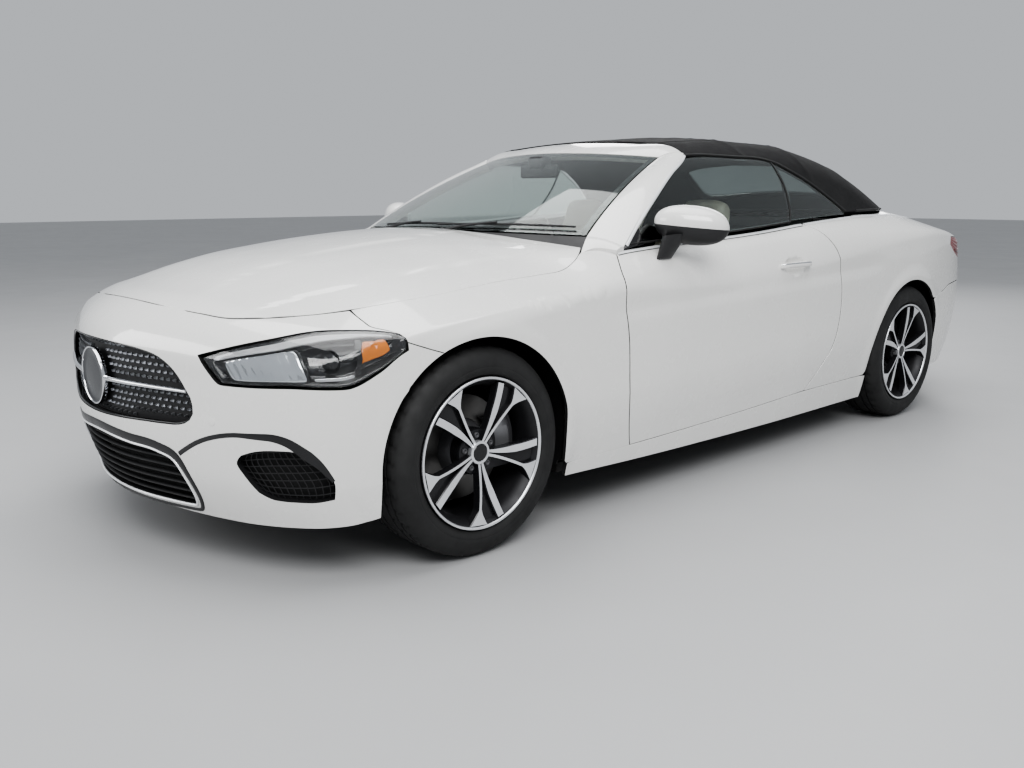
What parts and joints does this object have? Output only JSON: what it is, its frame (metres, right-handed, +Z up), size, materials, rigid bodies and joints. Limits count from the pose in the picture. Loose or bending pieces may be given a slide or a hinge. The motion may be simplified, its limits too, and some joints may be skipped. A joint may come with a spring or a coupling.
{
  "type": "soft-top convertible car",
  "caption": "Full-size soft-top convertible with the roof up, opening doors, hood and boot lid, turning wheels and working steering.",
  "frame": {"origin": "on the floor under the middle of the whole car's box", "axes": "+Z up, the front faces -Y, the car's left side is +X"},
  "size_m": [2.0474, 4.8492, 1.3978],
  "materials": {
    "paint": "gloss",
    "dark_plastic": "matte",
    "dark_leather": "satin",
    "lamp_clear": "clear",
    "lamp_red": "gloss",
    "tinted_glass": "clear",
    "roof_cloth": "matte",
    "light_leather": "satin",
    "inner_steel": "satin",
    "axle_steel": "satin",
    "cast_metal": "satin",
    "wheel_alloy": "satin",
    "tyre_rubber": "matte",
    "chrome_trim": "polished"
  },
  "bodies": {
    "body_shell": {"front_fenders": "paint", "front_bumper": "paint", "front_grille": "dark_plastic", "lower_intake": "dark_plastic", "side_vents": "dark_plastic", "headlights": "lamp_clear", "sills": "paint", "quarter_panels": "paint", "rear_bumper": "paint", "tail_lamps": "lamp_red", "tonneau_panel": "paint", "windscreen": "tinted_glass", "windscreen_frame": "paint", "soft_top": "roof_cloth", "rear_window": "tinted_glass", "quarter_windows": "tinted_glass", "floor_pan": "inner_steel", "firewall": "inner_steel", "rear_bulkhead": "inner_steel", "wheel_housings": "dark_plastic", "boot_tub": "inner_steel", "body_rails": "inner_steel", "engine_block": "cast_metal", "undertrays": "dark_plastic", "front_axle": "axle_steel", "rear_axle": "axle_steel", "dashboard": "dark_plastic", "centre_console": "dark_plastic", "front_seats": "light_leather", "rear_seat": "light_leather", "steering_column": "dark_plastic", "jacking_pads": "dark_plastic"},
    "door_left_body": {"door_left": "paint", "door_glass_left": "tinted_glass", "mirror_left": "paint"},
    "door_right_body": {"door_right": "paint", "door_glass_right": "tinted_glass", "mirror_right": "paint"},
    "hood_body": {"hood": "paint"},
    "boot_lid_body": {"boot_lid": "paint"},
    "knuckle_left_body": {"front_knuckle_left": "axle_steel"},
    "knuckle_right_body": {"front_knuckle_right": "axle_steel"},
    "wheel_fl_body": {"wheel_front_left": "wheel_alloy", "tyre_front_left": "tyre_rubber"},
    "wheel_fr_body": {"wheel_front_right": "wheel_alloy", "tyre_front_right": "tyre_rubber"},
    "wheel_rl_body": {"wheel_rear_left": "wheel_alloy", "tyre_rear_left": "tyre_rubber"},
    "wheel_rr_body": {"wheel_rear_right": "wheel_alloy", "tyre_rear_right": "tyre_rubber"},
    "steering_wheel_body": {"steering_wheel": "dark_leather"}
  },
  "joints": [
    {"name": "hood_hinge", "type": "hinge", "parent": "body_shell", "child": "hood_body", "pos_m": [0, -0.905, 0.93], "axis": [-1, 0, 0], "range_deg": [0, 50]},
    {"name": "boot_lid_hinge", "type": "hinge", "parent": "body_shell", "child": "boot_lid_body", "pos_m": [0, 1.742, 1.048], "axis": [1, 0, 0], "range_deg": [0, 75]},
    {"name": "door_left_hinge", "type": "hinge", "parent": "body_shell", "child": "door_left_body", "pos_m": [0.926, -0.895, 0.6], "axis": [0, 0, -1], "range_deg": [0, 65]},
    {"name": "door_right_hinge", "type": "hinge", "parent": "body_shell", "child": "door_right_body", "pos_m": [-0.926, -0.895, 0.6], "axis": [0, 0, 1], "range_deg": [0, 65]},
    {"name": "steer_left", "type": "hinge", "parent": "body_shell", "child": "knuckle_left_body", "pos_m": [0.735, -1.565, 0.34], "axis": [0, 0, 1], "range_deg": [-35, 35]},
    {"name": "steer_right", "type": "hinge", "parent": "body_shell", "child": "knuckle_right_body", "pos_m": [-0.735, -1.565, 0.34], "axis": [0, 0, 1], "range_deg": [-35.01, 35.01]},
    {"name": "wheel_front_left_spin", "type": "hinge", "parent": "knuckle_left_body", "child": "wheel_fl_body", "pos_m": [0.8, -1.565, 0.34], "axis": [1, 0, 0], "continuous": true},
    {"name": "wheel_front_right_spin", "type": "hinge", "parent": "knuckle_right_body", "child": "wheel_fr_body", "pos_m": [-0.8, -1.565, 0.34], "axis": [1, 0, 0], "continuous": true},
    {"name": "wheel_rear_left_spin", "type": "hinge", "parent": "body_shell", "child": "wheel_rl_body", "pos_m": [0.8, 1.3, 0.34], "axis": [1, 0, 0], "continuous": true},
    {"name": "wheel_rear_right_spin", "type": "hinge", "parent": "body_shell", "child": "wheel_rr_body", "pos_m": [-0.8, 1.3, 0.34], "axis": [1, 0, 0], "continuous": true},
    {"name": "steering_wheel_turn", "type": "hinge", "parent": "body_shell", "child": "steering_wheel_body", "pos_m": [0.38, -0.47, 0.8], "axis": [0, 0.9135, 0.4067], "range_deg": [-490.5, 490.5]}
  ],
  "couplings": [
    {"joint": "steer_right", "follows": "steer_left", "ratio": 1},
    {"joint": "steering_wheel_turn", "follows": "steer_left", "ratio": 14}
  ]
}
